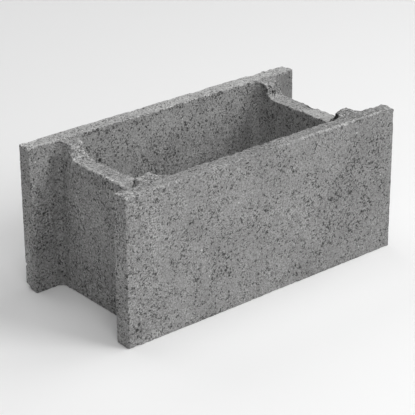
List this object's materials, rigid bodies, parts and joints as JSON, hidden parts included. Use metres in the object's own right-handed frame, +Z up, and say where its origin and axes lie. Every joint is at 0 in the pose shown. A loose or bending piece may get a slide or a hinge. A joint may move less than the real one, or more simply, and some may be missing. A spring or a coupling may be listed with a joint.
{
  "type": "concrete formwork block",
  "caption": "Hollow concrete shuttering block: long face shells joined by inset webs with recessed tops, open through and at the ends, laid dry and filled.",
  "frame": {"origin": "centre of the bottom bed face", "axes": "+X along the length, +Y across the width from one face shell to the other, +Z up out of the top bed, where the webs are recessed"},
  "size_m": [0.5, 0.245, 0.225],
  "materials": {
    "concrete": "dry-cast concrete, fine open grain, worn arrises"
  },
  "bodies": {
    "root": {"formwork_block": "concrete"}
  },
  "joints": []
}
